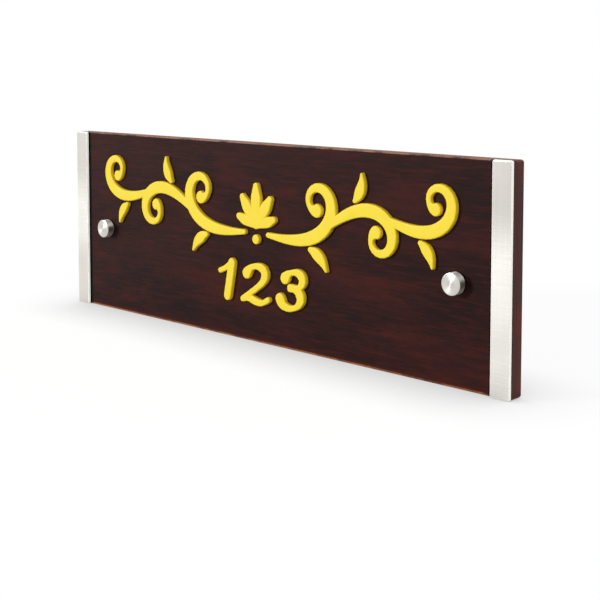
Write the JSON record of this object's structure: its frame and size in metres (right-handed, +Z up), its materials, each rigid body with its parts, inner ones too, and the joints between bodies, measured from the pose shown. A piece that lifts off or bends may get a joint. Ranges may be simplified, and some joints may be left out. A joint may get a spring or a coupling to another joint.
{
  "type": "name plate",
  "caption": "Stained wooden name plate with brushed steel end strips, raised yellow scrollwork and figures, hung on screw-on stand-off caps.",
  "frame": {"origin": "middle of the flat face of the board's bottom edge", "axes": "+X along the plate, to the right seen from the front; +Y towards the wall, so the front faces -Y; +Z up the plate"},
  "size_m": [0.4572, 0.0349, 0.1524],
  "materials": {
    "stained_wood": "dark red-brown stain, satin lacquer, fine straight grain",
    "brushed_steel": "stainless steel, fine brushed",
    "turned_steel": "stainless steel, turned, with concentric tool marks on its faces",
    "threaded_steel": "plain stainless screw steel",
    "yellow_acrylic": "opaque yellow, satin, with rounded front edges",
    "clear_nylon": "milky clear nylon",
    "foam_tape": "thin double-sided tape"
  },
  "bodies": {
    "plate": {"board": "stained_wood", "left_end_strip": "brushed_steel", "right_end_strip": "brushed_steel", "left_strip_tape": "foam_tape", "right_strip_tape": "foam_tape", "left_back_washer": "clear_nylon", "right_back_washer": "clear_nylon", "left_barrel": "turned_steel", "right_barrel": "turned_steel", "left_scroll_stem": "yellow_acrylic", "right_scroll_stem": "yellow_acrylic", "left_leaf_1": "yellow_acrylic", "left_leaf_2": "yellow_acrylic", "left_leaf_3": "yellow_acrylic", "right_leaf_1": "yellow_acrylic", "right_leaf_2": "yellow_acrylic", "right_leaf_3": "yellow_acrylic", "palmette": "yellow_acrylic", "bead": "yellow_acrylic", "figure_1": "yellow_acrylic", "figure_2": "yellow_acrylic", "figure_3": "yellow_acrylic"},
    "left_washer": {"left_front_washer": "clear_nylon"},
    "left_screw_cap": {"left_cap": "turned_steel", "left_cap_stud": "threaded_steel"},
    "right_washer": {"right_front_washer": "clear_nylon"},
    "right_screw_cap": {"right_cap": "turned_steel", "right_cap_stud": "threaded_steel"}
  },
  "joints": [
    {"name": "left_cap_travel", "type": "slide", "parent": "plate", "child": "left_washer", "axis": [0, -1, 0], "range_m": [0, 0.008]},
    {"name": "left_cap_turn", "type": "hinge", "parent": "left_washer", "child": "left_screw_cap", "pos_m": [-0.1856, -0.0068, 0.07], "axis": [0, -1, 0], "range_deg": [0, 2880]},
    {"name": "right_cap_travel", "type": "slide", "parent": "plate", "child": "right_washer", "axis": [0, -1, 0], "range_m": [0, 0.008]},
    {"name": "right_cap_turn", "type": "hinge", "parent": "right_washer", "child": "right_screw_cap", "pos_m": [0.1856, -0.0068, 0.07], "axis": [0, -1, 0], "range_deg": [0, 2880]}
  ],
  "couplings": [
    {"joint": "left_cap_turn", "follows": "left_cap_travel", "rad_per_m": 6283},
    {"joint": "right_cap_turn", "follows": "right_cap_travel", "rad_per_m": 6283}
  ]
}
